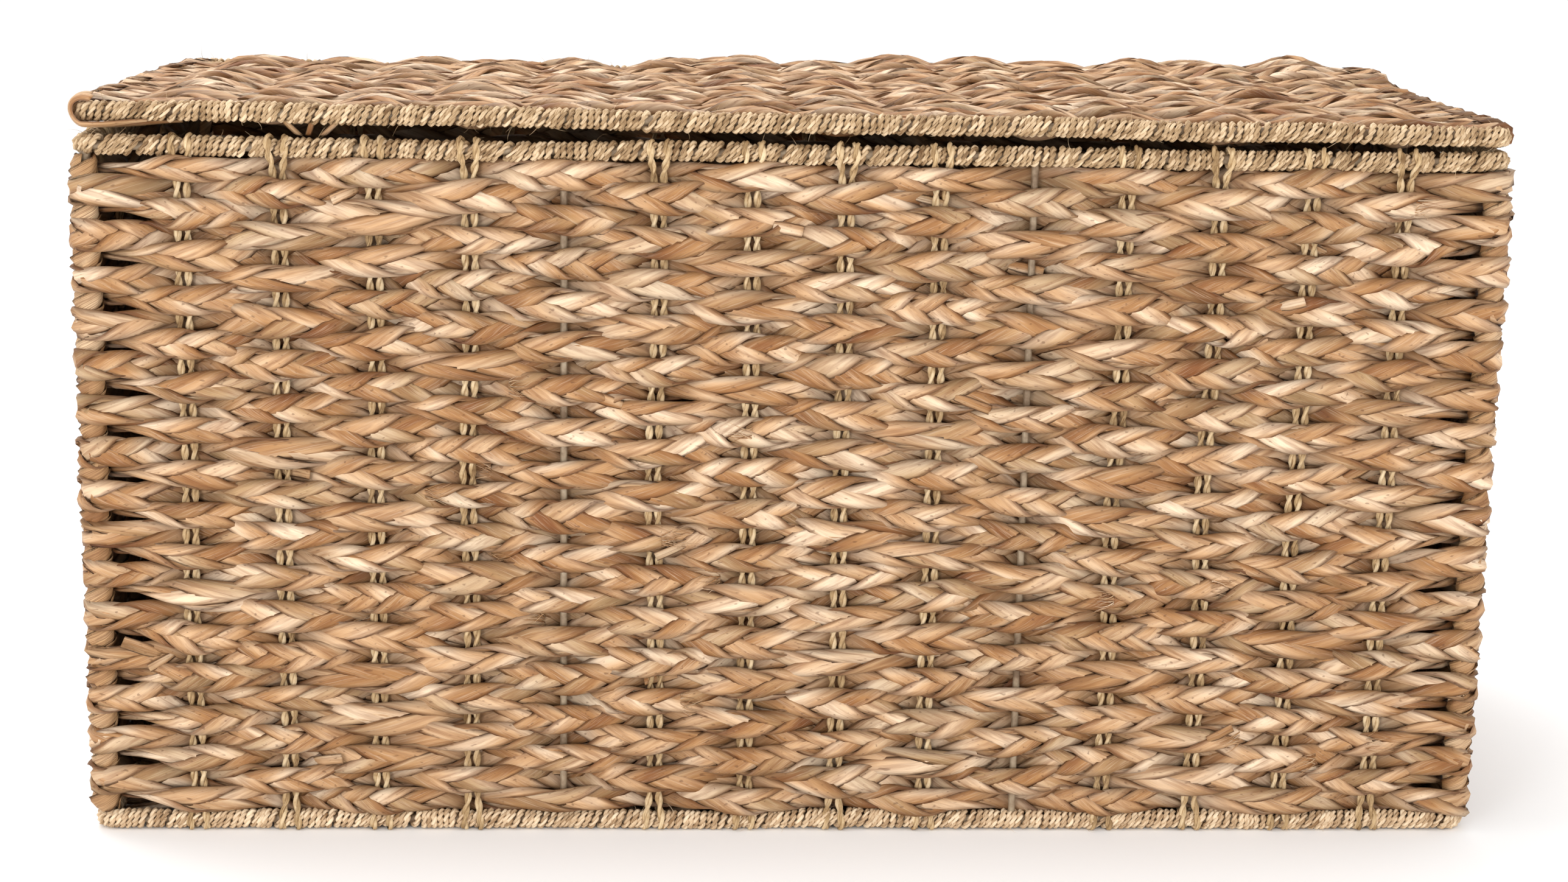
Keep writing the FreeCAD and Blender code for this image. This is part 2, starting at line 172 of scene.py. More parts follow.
class Line:
    """A smooth line through bends, by distance along it."""

    def __init__(self, bends, ends=None):
        """ends holds the first and last heading of an open line. Without it the line is closed."""
        self.closed = ends is None
        following = bends[1:] + bends[:1] if self.closed else bends[1:]
        links = [heading_between(a, b) for a, b in zip(bends, following)]
        if self.closed:
            headings = zip(links[-1:] + links[:-1], links)
        else:
            headings = zip([ends[0]] + links, links + [ends[1]])
        samples = np.concatenate([arc(bend, *pair) for bend, pair in zip(bends, headings)])
        if self.closed:
            samples = np.vstack((samples, samples[:1]))
        self.x, self.y = samples[:, 0], samples[:, 1]
        self.heading = np.unwrap(samples[:, 2])
        steps = np.hypot(np.diff(self.x), np.diff(self.y))
        self.distance = np.concatenate(([0.0], np.cumsum(steps)))
        self.length = self.distance[-1]
        self.middles = self.distance[ARC_POINTS // 2::ARC_POINTS][:len(bends)]

    def at(self, distance):
        """Place and heading; an open line runs on straight beyond its ends."""
        if self.closed:
            distance = distance % self.length
        inside = np.clip(distance, 0, self.length)
        heading = np.interp(inside, self.distance, self.heading)
        x = np.interp(inside, self.distance, self.x) + (distance - inside) * np.cos(heading)
        y = np.interp(inside, self.distance, self.y) + (distance - inside) * np.sin(heading)
        return x, y, heading

    def swing(self, distance):
        """1 where the line bends over the first upright and each second one after it, -1 at the others."""
        marks = self.middles
        numbers = np.arange(len(marks))
        if self.closed:
            distance = distance % self.length
            marks = np.concatenate((marks[-1:] - self.length, marks, marks[:1] + self.length))
            numbers = np.arange(-1, len(numbers) + 1)
        return np.cos(math.pi * np.interp(distance, marks, numbers))


def parity(number):
    """1 for an even number and -1 for an odd one."""
    return 1 - 2 * (number % 2)


def stake_positions(side):
    """Distances of the inner uprights along one side, from its middle, by their number."""
    bays = BAYS[side]
    bay = 2 * (POST_X if side in ("front", "back") else POST_Y) / bays
    return {number: (number - bays / 2) * bay for number in range(1, bays)}


def cord_positions(side):
    """Distances along one side of the uprights that are doubled cords."""
    return [position for number, position in stake_positions(side).items() if number not in BARE_STAKES[side]]


def wall_place(side, position):
    """A point on one wall's middle line."""
    outward_x, outward_y = OUTWARD[side]
    along_x, along_y = ALONG[side]
    return (outward_x * HALF_W + along_x * position, outward_y * HALF_D + along_y * position)


def wall_line(row):
    """The line of one wall row and whether it starts outside the front left post."""
    bends = []
    for side, (sign_x, sign_y) in zip(SIDES, CORNERS.values()):
        outside = parity(row + len(bends)) > 0
        radius, back_off = (CORNER_PASS_R, 0) if outside else (CORNER_INNER_R, CORNER_BACK_OFF)
        bends.append(Bend(sign_x * (POST_X - back_off), sign_y * (POST_Y - back_off), radius, 1))
        outward_x, outward_y = OUTWARD[side]
        for position in stake_positions(side).values():
            x, y = wall_place(side, position)
            outside = parity(row + len(bends))
            reach = outside * (WALL_WAVE - CREST_R)
            bends.append(Bend(x + outward_x * reach, y + outward_y * reach, CREST_R, outside))
    return Line(bends), parity(row)


rim_line = Line([Bend(sign_x * (HALF_W - RIM_BEND_R), sign_y * (HALF_D - RIM_BEND_R), RIM_BEND_R, 1)
                 for sign_x, sign_y in CORNERS.values()])


def panel_line(row, end, hooked):
    """The line of one lid or base row in the XZ plane and whether it starts over the left rod."""
    over_left = parity(row)
    over_right = parity(row + BAYS["front"])
    bends = []
    for number, position in stake_positions("front").items():
        over = parity(row + number)
        bends.append(Bend(position, over * (PANEL_WAVE - CREST_R), CREST_R, -over))
    reach, radius, turn = (0.0, HOOK_R, math.pi) if hooked else (PANEL_WAVE - CREST_R, CREST_R, 0.0)
    first = Bend(-end, over_left * reach, radius, -over_left)
    last = Bend(end, over_right * reach, radius, -over_right)
    return Line([first] + bends + [last], (over_left * turn, -over_right * turn)), over_left


# ---- noise ----

def wander(length, wavelength):
    """A smooth random wave of about unit size that repeats after length."""
    turns = np.maximum(1, np.round(length / wavelength * np.array((0.55, 0.8, 1.0, 1.3, 1.7))))
    sizes = rng.uniform(0.5, 1.0, len(turns)) * 0.7
    starts = rng.uniform(0, TURN, len(turns))

    def wave(distance):
        angle = TURN * np.asarray(distance)[..., None] / length
        return (sizes * np.sin(turns * angle + starts)).sum(axis=-1)
    return wave


def pattern_start():
    """Where a strand begins in its material's pattern."""
    return rng.uniform(0, 50)


def smooth_step(low, high, value):
    share = np.clip((value - low) / (high - low), 0, 1)
    return share * share * (3 - 2 * share)


# ---- meshes ----

def unit(vectors):
    return vectors / np.maximum(np.linalg.norm(vectors, axis=-1, keepdims=True), 1e-12)


def circles(first, second, sides):
    """Unit circles of points in the planes that rows of first and second span."""
    angles = TURN * np.arange(sides) / sides
    return np.cos(angles)[:, None] * first[:, None, :] + np.sin(angles)[:, None] * second[:, None, :]


def level(x, y, z=0.0):
    """Points or directions from rows of x and y, at height z."""
    return np.column_stack((x, y, np.full(len(x), z)))


def add_object(name, data):
    made = bpy.data.objects.new(name, data)
    scene.collection.objects.link(made)
    return made


class Weave:
    """Collects closed tubes of quads and turns them into one mesh object."""

    def __init__(self):
        self.points, self.corners, self.sizes, self.uvs, self.groove_shades = [], [], [], [], []
        self.count = 0

    def tube(self, rings, along, across, groove_shade, closed=False):
        """Adds a tube. rings is (n, m, 3); along, the distance for UVs, has one more row if closed."""
        n, m = rings.shape[:2]
        rows = np.arange(n - 1 + closed)[:, None]
        columns = np.arange(m)[None, :]
        ahead = (rows + 1) % n
        beside = (columns + 1) % m
        quads = np.stack((rows * m + columns, ahead * m + columns, ahead * m + beside, rows * m + beside), -1)
        lengthways = np.stack((along[rows, columns], along[rows + 1, columns],
                               along[rows + 1, beside], along[rows, beside]), -1)
        sideways = np.stack((across[columns], across[columns], across[beside], across[beside]), -1)
        sideways = np.broadcast_to(sideways, lengthways.shape)
        self.corners.append(quads.reshape(-1) + self.count)
        self.sizes.append(np.full(rows.size * m, 4))
        self.uvs.append(np.stack((lengthways, sideways), -1).reshape(-1, 2))
        if not closed:
            for row, order in ((0, slice(None)), (n - 1, slice(None, None, -1))):
                cap = np.arange(m)[order]
                self.corners.append(cap + row * m + self.count)
                self.sizes.append(np.array([m]))
                self.uvs.append(np.column_stack((along[row, cap], across[cap])))
        self.points.append(rings.reshape(-1, 3))
        self.groove_shades.append(np.broadcast_to(groove_shade, (n, m)).reshape(-1))
        self.count += n * m

    def ribbon(self, middle, half_thick, along, across, groove_shade, closed=False):
        """Adds a thin strip given by its middle surface, (n, k, 3), and its half thickness across."""
        if closed:
            padded = np.concatenate((middle[-1:], middle, middle[:1]))
            forward = padded[2:] - padded[:-2]
        else:
            forward = np.gradient(middle, axis=0)
        normal = unit(np.cross(forward, np.gradient(middle, axis=1)))
        upper = middle + normal * half_thick[:, None]
        lower = middle - normal * half_thick[:, None]
        rings = np.concatenate((upper, lower[:, -2:0:-1]), axis=1)
        order = np.arange(middle.shape[1])
        around = np.concatenate((order, order[-2:0:-1]))
        self.tube(rings, along[:, around], across[around], groove_shade[:, around], closed)

    def strip(self, middle, half_thick, along, columns, groove_shade=1.0):
        """Adds a loose strip of leaf that is equally thick all over."""
        along, groove_shade = (np.broadcast_to(values, middle.shape[:2]) for values in (along, groove_shade))
        self.ribbon(middle, np.full(len(columns), half_thick), along, (columns + 1) / 2, groove_shade)

    def cord(self, middle, first, second, twist, offset, ply_r, sides, along):
        """Adds a cord of two twisted plies. first and second span its cross-section at each point."""
        circle = circles(first, second, sides)
        across = np.abs(1 - 2 * np.arange(sides) / sides)
        for ply in (0, 1):
            angle = (twist + math.pi * ply)[:, None]
            core = middle + offset * (np.cos(angle) * first + np.sin(angle) * second)
            rings = core[:, None, :] + np.broadcast_to(ply_r, (len(middle),))[:, None, None] * circle
            lengthways = np.repeat((along + 3.7 * ply)[:, None], sides, axis=1)
            self.tube(rings, lengthways, across, 1.0)

    def build(self, name, body, material, replaced, move=None):
        """Makes the object, which rides on a body and stands for the CAD nodes it replaces."""
        points = np.concatenate(self.points)
        if move:
            points = move(points)
        sizes = np.concatenate(self.sizes)
        corners = np.concatenate(self.corners)
        mesh = bpy.data.meshes.new(name)
        mesh.vertices.add(len(points))
        mesh.vertices.foreach_set("co", points.astype(np.float32).ravel())
        mesh.loops.add(len(corners))
        mesh.loops.foreach_set("vertex_index", corners.astype(np.int32))
        mesh.polygons.add(len(sizes))
        mesh.polygons.foreach_set("loop_start", (np.cumsum(sizes) - sizes).astype(np.int32))
        mesh.polygons.foreach_set("use_smooth", np.ones(len(sizes), bool))
        uvs = np.concatenate(self.uvs).astype(np.float32)
        mesh.uv_layers.new(name="strand").uv.foreach_set("vector", uvs.ravel())
        # Painted shade per point: 1 where a strand lies open, less where another strand covers it.
        groove_shade = mesh.attributes.new("groove_shade", "FLOAT", "POINT")
        groove_shade.data.foreach_set("value", np.concatenate(self.groove_shades).astype(np.float32))
        mesh.update(calc_edges=True)
        mesh.materials.append(material)
        made = add_object(name, mesh)
        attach(made, body)
        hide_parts(*replaced)


# ---- leaf plaits ----

FOLD_STEPS = np.array((-1.571, -1.1, -0.65, -0.3, -0.08, 0.12, 0.4, 0.95))
COARSE_FOLD_STEPS = np.array((-1.571, -0.8, -0.25, 0.0, 0.25, 0.8))
STRAND_COLUMNS = np.array((-1.0, -0.72, -0.26, 0.26, 0.72, 1.0))
COARSE_COLUMNS = np.array((-1.0, -0.5, 0.5, 1.0))
LEAF_COLUMNS = np.array((-1.0, -0.5, 0.0, 0.5, 1.0))
PEAK = 0.7
STRAND_SLOPE = math.radians(27)
HAIR_R = 0.00013
HAIR_SIDES = 3


def zigzag(phase):
    """A triangle wave with rounded peaks."""
    return np.arcsin(PEAK * np.sin(phase)) / math.asin(PEAK)


def plait(weave, line, starts_over, place, width, relief, steps=FOLD_STEPS, columns=STRAND_COLUMNS):
    """Adds three folded leaf strands plaited along a line.

    place(distance, side, lift) gives points beside and above the line. width(swing) gives the braid's
    half width: swing is 1 outside an upright and -1 inside one.
    """
    periods = round(line.length / PLAIT_PERIOD)
    table = np.linspace(0, line.length, 2000)
    bunching = wander(line.length, 0.25)
    phases = TURN * periods * table / line.length + BUNCHING * (bunching(table) - bunching(0.0))
    flow = rng.choice((-1, 1))
    narrowing = wander(line.length, 0.11)
    drift = wander(line.length, 0.09)
    start = rng.uniform(0, TURN)

    def distance_at(phase):
        cycles = np.floor(phase / phases[-1]) if line.closed else 0
        within = phase - cycles * phases[-1]
        straight = (within - np.clip(within, 0, phases[-1])) * line.length / phases[-1]
        distance = np.interp(within, phases, table) + straight + cycles * line.length
        return distance if flow > 0 else line.length - distance

    for strand in range(3):
        shift = TURN * strand / 3 + start
        if line.closed:
            folds = np.arange(2 * periods)
        else:
            folds = np.arange(math.floor(shift / math.pi) - 1, math.ceil((phases[-1] + shift) / math.pi) + 1)
        phase = (math.pi * (folds[:, None] + 0.5) + steps).ravel()
        size = np.repeat(1 + FOLD_CHANGE * rng.standard_normal(len(folds)).clip(-1.6, 1.3), len(steps))
        raise_fold = np.repeat(FOLD_RAISE * rng.standard_normal(len(folds)).clip(-1.2, 1.6), len(steps))
        if not line.closed:
            within = (phase >= shift) & (phase <= phases[-1] + shift)
            phase, size, raise_fold = phase[within], size[within], raise_fold[within]
        spread_wave = wander(phase[-1] - phase[0], 9.0)
        taper = 1 - STRAND_TAPER * np.sin(phase) ** 2
        spread = STRAND_SPREAD * (taper * (1 + STRAND_CHANGE * spread_wave(phase - phase[0])))[:, None]
        distance = distance_at(phase[:, None] - shift - spread * columns)
        swing = starts_over * line.swing(distance)
        sideways = zigzag(phase)[:, None]
        half = width(swing) * (1 + WIDTH_CHANGE * narrowing(distance))
        side = half * size[:, None] * sideways + BRAID_DRIFT * drift(distance)
        facing = -np.sin(2 * phase)[:, None]
        lift = relief * (PLAIT_LIFT * facing + STRAND_TILT * columns)
        lift = lift + relief * (raise_fold * np.abs(np.sin(phase)))[:, None]
        middle = place(distance, side, lift)
        pace = PLAIT_PERIOD / (TURN * math.cos(STRAND_SLOPE))
        along = phase[:, None] * pace - 0.010 * columns + pattern_start()
        if line.closed:
            along = np.vstack((along, along[:1] + TURN * periods * pace))
        # Painted shade: darker where a strand passes under the next one, where the braid passes inside an
        # upright, and along the braid's edges.
        groove_shade = smooth_step(-1.05, -0.3, facing * columns)
        groove_shade = groove_shade * (1 - INSIDE_SHADE * np.maximum(-swing, 0))
        groove_shade = groove_shade * (1 - EDGE_SHADE * smooth_step(0.66, 1.0, np.abs(sideways)))
        thick = STRAND_EDGE + relief * STRAND_CROWN * (1 - columns ** 2)
        weave.ribbon(middle, thick, along, (columns + 1) / 2, groove_shade, line.closed)


def leaf_end(weave, line, place):
    """Adds the flat cut end of a leaf that was spliced in, lying on a braid's outer face."""
    distance = rng.uniform(0, line.length)
    length = rng.uniform(0.013, 0.026)
    slant = rng.choice((-1, 1)) * math.radians(rng.uniform(6, 30))
    flow = rng.choice((-1, 1))
    t = np.linspace(0, 1, 9)[:, None]
    columns = LEAF_COLUMNS
    half = rng.uniform(0.0022, 0.0038) * (0.75 + 0.25 * smooth_step(0, 0.35, t))
    forward = distance + flow * (t * length * math.cos(slant) - columns * half * math.sin(slant))
    side = rng.uniform(-0.003, 0.003) + t * length * math.sin(slant) + columns * half * math.cos(slant)
    lift = 0.0015 + 0.0020 * smooth_step(0, 0.45, t) + rng.uniform(0, 0.0022) * t ** 3 - 0.0003 * columns ** 2
    middle = place(forward, side, lift)
    if flow < 0:
        middle = middle[:, ::-1]
    along = t * length + pattern_start()
    weave.strip(middle, 0.0003, along, columns)


def hair(weave, start, reach, bow, radius=HAIR_R):
    """Adds a fine loose fibre from start, a reach long, bowed to one side."""
    t = np.linspace(0, 1, 6)[:, None]
    middle = start + t * reach + 4 * t * (1 - t) * bow
    tangent = unit(np.gradient(middle, axis=0))
    first = unit(np.cross(tangent, (0.31, 0.47, 0.83)))
    second = np.cross(tangent, first)
    rings = middle[:, None, :] + radius * (1.2 - t)[:, None] * circles(first, second, HAIR_SIDES)
    along = np.repeat(t * np.linalg.norm(reach) + pattern_start(), HAIR_SIDES, axis=1)
    weave.tube(rings, along, np.full(HAIR_SIDES, 0.5), 1.0)


def braid_fibre(weave, place, distance, run, side, lift, ends, bow, radius=HAIR_R):
    """Adds a fibre that runs along a braid's face. ends holds the shift and the rise of each end."""
    start, end = (place(np.array(distance + share * run), np.array(side + share * shift),
                        np.array(lift + share * rise)) for share, (shift, rise) in enumerate(ends))
    hair(weave, start, end - start, rng.uniform(-bow, bow, 3), radius)


def wall_hair(weave, line, place):
    """Adds a fibre that has come loose from the outer face of a braid."""
    distance = rng.uniform(0, line.length)
    run = rng.choice((-1, 1)) * rng.uniform(0.006, 0.018)
    side = rng.uniform(-0.005, 0.005)
    ends = [(rng.uniform(-0.005, 0.005), rng.uniform(0.0, 0.003)) for _ in range(2)]
    braid_fibre(weave, place, distance, run, side, 0.0021, ends, 0.0015)


def wall_fray(weave, line, place):
    """Adds a tuft of split leaf fibres that lies on the outer face of a braid."""
    distance = rng.uniform(0, line.length)
    flow = rng.choice((-1, 1))
    for _ in range(rng.integers(10, 20)):
        run = flow * rng.uniform(0.006, 0.016)
        side = rng.uniform(-0.0045, 0.0045)
        spread = rng.uniform(-0.006, 0.006)
        ends = [(spread, rng.uniform(0.0003, 0.0035)) for _ in range(2)]
        braid_fibre(weave, place, distance, run, side, 0.0023, ends, 0.0012, 0.00028)


WALL_SAG = 0.0009
sag_waves = [(rng.integers(2, 9), rng.uniform(0, TURN), rng.uniform(8, 30), rng.uniform(0.5, 1.0))
             for _ in range(6)]


def wall_sag(share, z):
    """How far the rows rise together at a share of the way round the trunk."""
    window = np.sin(math.pi * np.clip((z - Z_BOTTOM) / (Z_TOP - Z_BOTTOM), 0, 1))
    total = sum(size * np.sin(TURN * turns * share + start + pace * z)
                for turns, start, pace, size in sag_waves)
    return WALL_SAG * window * total


def row_height(row):
    low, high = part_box(f"wall_braid_{row:02d}")
    return (low.z + high.z) / 2


# The corner posts' places among the uprights, and how hard the braids are pinched and pushed there
CORNER_PINCHES = ((0, 0.66, 0.0026), (15, 0.52, 0.0017), (23, 0.25, 0.0), (38, 0.25, 0.0))


def wall_placer(line, row):
    """Puts points beside and outside one wall row's line, pinched where it passes inside a corner post."""
    z = row_height(row)
    pinches = [(line.middles[count], squeeze * rng.uniform(0.75, 1.25), push * rng.uniform(-0.1, 1.2))
               for count, squeeze, push in CORNER_PINCHES if (row + count) % 2 == 1]

    def place(distance, side, lift):
        x, y, heading = line.at(distance)
        for middle, squeeze, push in pinches:
            off = np.abs((distance - middle + line.length / 2) % line.length - line.length / 2)
            share = smooth_step(0.048, 0.012, off)
            side = side * (1 - squeeze * share) + push * share
        height = z + side + wall_sag(distance / line.length, z)
        return np.stack((x + lift * np.sin(heading), y - lift * np.cos(heading), height), axis=-1)
    return place


def wall_width(row):
    edge_row = 0.94 if row in (1, WALL_ROWS) else 1.0

    def width(swing):
        extra = WALL_OUTSIDE_EXTRA * np.maximum(swing, 0) + WALL_INSIDE_EXTRA * np.maximum(-swing, 0)
        return edge_row * (WALL_HALF_WIDTH + extra)
    return width


def panel_placer(line, y_row):
    """Puts points beside and above one flat row's line."""
    heave = wander(line.length, 0.06)
    stray = wander(line.length, 0.15)

    def place(distance, side, lift):
        x, z, heading = line.at(distance)
        inner = smooth_step(0.0, 0.06, np.minimum(distance, line.length - distance))
        y = y_row + side + 0.0006 * inner * stray(distance)
        return np.stack((x - lift * np.sin(heading), y,
                         z + lift * np.cos(heading) + 0.0006 * inner * heave(distance)), axis=-1)
    return place


def panel_width(swing):
    return PANEL_HALF_WIDTH + PANEL_PASS_EXTRA * np.abs(swing)


# ---- the lid's place ----

LID_DOME = 0.002  # rise of the woven lid; then what is added at the back and at the back right
LID_DOME_BACK = 0.002
LID_DOME_CORNER = 0.0055
LID_TWIST = 0.0022  # how far the front left corner rises and the front right one drops
LID_SIDE_RISE = 0.009  # hump along the right side
bump_waves = [(rng.uniform(35, 95), rng.uniform(-130, 130), rng.uniform(0, TURN)) for _ in range(8)]


def lid_lift(x, y):
    """How far the woven panel stands above a flat one: an uneven dome that ends at the rims."""
    within_x = smooth_step(HALF_W - 0.006, HALF_W - 0.040, np.abs(x))
    within_y = smooth_step(HALF_D - 0.013, HALF_D - 0.036, np.abs(y))
    towards_back = smooth_step(-0.06, 0.165, y)
    dome = LID_DOME + towards_back * (LID_DOME_BACK + LID_DOME_CORNER * smooth_step(-0.20, 0.10, x))
    bumps = sum(np.sin(pace_x * x + pace_y * y + start) for pace_x, pace_y, start in bump_waves)
    return within_x * within_y * (dome + 0.0007 * bumps)


def hang_lid(points):
    """Moves points of the flat lid to its height and tilt, with the warp of a used lid."""
    x, y, z = points[:, 0], points[:, 1], points[:, 2]
    reach = HALF_D - y
    front = reach / (2 * HALF_D)
    twist = -LID_TWIST * front * x / HALF_W
    right_edge = smooth_step(0.285, 0.385, x) * LID_SIDE_RISE * np.exp(-((y - 0.10) / 0.062) ** 2)
    tilted_y = HALF_D - reach * math.cos(LID_TILT) + z * math.sin(LID_TILT)
    tilted_z = Z_HINGE + reach * math.sin(LID_TILT) + z * math.cos(LID_TILT)
    return np.stack((x, tilted_y, tilted_z + twist + right_edge + lid_lift(x, y)), axis=-1)


def above_floor(points):
    """Presses points flat where they would pass through the floor."""
    points[:, 2] = np.maximum(points[:, 2], FLOOR_GAP)
    return points


def place_base(points):
    """Moves points of a flat base at height 0 to its place."""
    return above_floor(points + (0, 0, Z_BASE))


# ---- materials ----

def srgb(red, green, blue):
    """Linear colour from 0 to 255 display values."""
    def linear(value):
        value /= 255
        return value / 12.92 if value <= 0.04045 else ((value + 0.055) / 1.055) ** 2.4
    return linear(red), linear(green), linear(blue), 1.0


class Nodes:
    """A material's node tree, built a node at a time."""

    def __init__(self, name):
        self.material = bpy.data.materials.new(name)
        self.material.use_nodes = True
        self.tree = self.material.node_tree
        self.shader = self.tree.nodes["Principled BSDF"]

    def add(self, kind, inputs=None, **settings):
        """A new node; an input is a value or another node's output."""
        made = self.tree.nodes.new("ShaderNode" + kind)
        for name, value in settings.items():
            setattr(made, name, value)
        for name, value in (inputs or {}).items():
            if isinstance(value, bpy.types.NodeSocket):
                self.tree.links.new(value, made.inputs[name])
            else:
                made.inputs[name].default_value = value
        return made

    def ramp(self, value, stops):
        made = self.add("ValToRGB", {"Fac": value})
        elements = made.color_ramp.elements
        while len(elements) < len(stops):
            elements.new(0.5)
        for element, (place, colour) in zip(elements, stops):
            element.position = place
            element.color = srgb(*colour)
        return made.outputs["Color"]

    def grey(self, value, low, high, dark=0.0, light=1.0):
        """Maps a value between low and high to a grey between dark and light."""
        made = self.add("MapRange", {"Value": value, "From Min": low, "From Max": high,
                                     "To Min": dark, "To Max": light}, clamp=True)
        return made.outputs["Result"]

    def math(self, operation, first, second=0.0):
        made = self.add("Math", {0: first, 1: second}, operation=operation)
        return made.outputs["Value"]

    def mix(self, factor, first, second):
        return self.add("Mix", {"Factor": factor, 6: first, 7: second}, data_type="RGBA").outputs[2]

    def tint(self, colour, value, low, high, most, other):
        """Mixes a colour into another where a value goes from low to high, up to a share of most."""
        return self.mix(self.grey(value, low, high, 0.0, most), colour, srgb(*other))

    def strand_uv(self):
        uv = self.add("UVMap", uv_map="strand")
        split = self.add("SeparateXYZ", {"Vector": uv.outputs["UV"]})
        return split.outputs["X"], split.outputs["Y"]

    def noise(self, u, v, per_metre, across, detail, roughness=0.5, depth=0.0):
        """Noise stretched along a strand: features per metre along it and over its width."""
        place = self.add("CombineXYZ", {"X": self.math("MULTIPLY", u, per_metre),
                                        "Y": self.math("MULTIPLY", v, across), "Z": depth})
        made = self.add("TexNoise", {"Vector": place.outputs["Vector"], "Scale": 1.0, "Detail": detail,
                                     "Roughness": roughness})
        return made.outputs["Fac"]

    def paint_groove_shade(self, colour, most, dark):
        """Paints shade into a colour where strands pass under one another, darker where the shade attribute
        is lower.
        """
        groove_shade = self.add("Attribute", attribute_name="groove_shade").outputs["Fac"]
        return self.mix(self.grey(groove_shade, 0.0, 1.0, most, 0.0), colour, srgb(*dark))

    def finish(self, colour, pattern, rough, smooth, height, bump_distance, specular):
        """Sets the shader's sockets. A pattern takes the roughness from rough to smooth."""
        roughness = self.grey(pattern, 0.3, 0.7, rough, smooth)
        bump = self.add("Bump", {"Height": height, "Distance": bump_distance, "Strength": 1.0})
        self.tree.links.new(colour, self.shader.inputs["Base Color"])
        self.tree.links.new(roughness, self.shader.inputs["Roughness"])
        self.tree.links.new(bump.outputs["Normal"], self.shader.inputs["Normal"])
        self.shader.inputs["Specular IOR Level"].default_value = specular
        return self.material


def leaf_material():
    """Dried flat leaf: long fibres, colour that drifts from tan to straw and grey, painted shade towards the
    strands' edges and where they pass under one another.
    """
    nodes = Nodes("leaf_braid")
    u, v = nodes.strand_uv()
    drift = nodes.noise(u, v, 17.0, 0.8, detail=1.0)
    hue = nodes.noise(u, v, 9.0, 0.5, detail=1.0, depth=7.3)
    streaks = nodes.noise(u, v, 38.0, 5.0, detail=3.0, roughness=0.6, depth=2.1)
    fibres = nodes.noise(u, v, 60.0, 26.0, detail=2.0, roughness=0.6, depth=4.6)
    specks = nodes.noise(u, v, 300.0, 6.0, detail=1.0, depth=9.9)
    tan = nodes.ramp(drift, ((0.25, (122, 74, 36)), (0.40, (166, 121, 76)),
                             (0.53, (196, 157, 117)), (0.71, (230, 204, 174))))
    straw = nodes.ramp(drift, ((0.25, (110, 80, 45)), (0.45, (168, 136, 97)), (0.75, (213, 190, 161))))
    colour = nodes.mix(nodes.grey(hue, 0.52, 0.70), tan, straw)
    colour = nodes.tint(colour, streaks, 0.58, 0.32, 0.58, (116, 68, 33))
    colour = nodes.tint(colour, fibres, 0.52, 0.72, 0.32, (217, 192, 164))
    colour = nodes.tint(colour, specks, 0.66, 0.74, 0.5, (84, 48, 25))
    # Painted shade towards each strand's edges, where its crown curves away.
    rim = nodes.math("ABSOLUTE", nodes.math("SUBTRACT", v, 0.5))
    colour = nodes.tint(colour, rim, 0.35, 0.5, 0.7, (98, 56, 29))
    # Painted shade where strands pass under one another.
    colour = nodes.paint_groove_shade(colour, 0.95, (56, 29, 13))
    height = nodes.math("ADD", nodes.math("MULTIPLY", fibres, 0.55), streaks)
    return nodes.finish(colour, streaks, 0.62, 0.44, height, 0.0006, 0.24)


def wound_leaf_material():
    """Leaf wound round a post, with painted shade along the line where each turn covers the last."""
    nodes = Nodes("leaf_wrap")
    u, v = nodes.strand_uv()
    drift = nodes.noise(u, v, 20.0, 1.0, detail=1.0)
    fibres = nodes.noise(u, v, 50.0, 30.0, detail=3.0, roughness=0.6, depth=3.1)
    colour = nodes.ramp(drift, ((0.28, (140, 95, 54)), (0.5, (188, 147, 102)), (0.72, (218, 186, 148))))
    colour = nodes.tint(colour, fibres, 0.60, 0.36, 0.75, (110, 68, 36))
    # Painted shade where one turn covers the last.
    colour = nodes.paint_groove_shade(colour, 0.75, (78, 46, 24))
    return nodes.finish(colour, fibres, 0.66, 0.48, fibres, 0.0006, 0.4)


def cord_material(name, dark, middle, light):
    """Twisted grass: pale strands with fine fibres and greenish and brown stretches."""
    nodes = Nodes(name)
    u, v = nodes.strand_uv()
    drift = nodes.noise(u, v, 60.0, 0.4, detail=1.0)
    fibres = nodes.noise(u, v, 260.0, 7.0, detail=3.0, roughness=0.65, depth=5.5)
    tone = nodes.math("ADD", nodes.math("MULTIPLY", drift, 0.55), nodes.math("MULTIPLY", fibres, 0.45))
    colour = nodes.ramp(tone, ((0.34, dark), (0.48, middle), (0.62, light)))
    return nodes.finish(colour, fibres, 0.78, 0.58, fibres, 0.0004, 0.3)


def steel_material():
    """Bare rod gone dull grey-brown, with rusty blotches and scratches along it."""
    nodes = Nodes("steel_rod")
    place = nodes.add("TexCoord").outputs["Object"]
    rust = {"Vector": place, "Scale": 90.0, "Detail": 4.0, "Roughness": 0.6}
    blotches = nodes.add("TexNoise", rust).outputs["Fac"]
    grain = nodes.add("TexNoise", {"Vector": place, "Scale": 900.0, "Detail": 2.0}).outputs["Fac"]
    colour = nodes.ramp(blotches, ((0.35, (104, 82, 60)), (0.52, (142, 122, 98)), (0.68, (165, 148, 124))))
    nodes.shader.inputs["Metallic"].default_value = 0.2
    return nodes.finish(colour, blotches, 0.62, 0.42, grain, 0.0001, 0.45)


leaf = leaf_material()
wound_leaf = wound_leaf_material()
rim_grass = cord_material("rim_grass", (100, 70, 40), (174, 144, 107), (224, 198, 163))
low_rim_grass = cord_material("low_rim_grass", (132, 98, 62), (202, 172, 137), (238, 216, 184))
stake_grass = cord_material("stake_grass", (112, 82, 48), (182, 151, 109), (224, 199, 160))
steel = steel_material()


# ---- walls ----

ROWS_PER_PIECE = 2


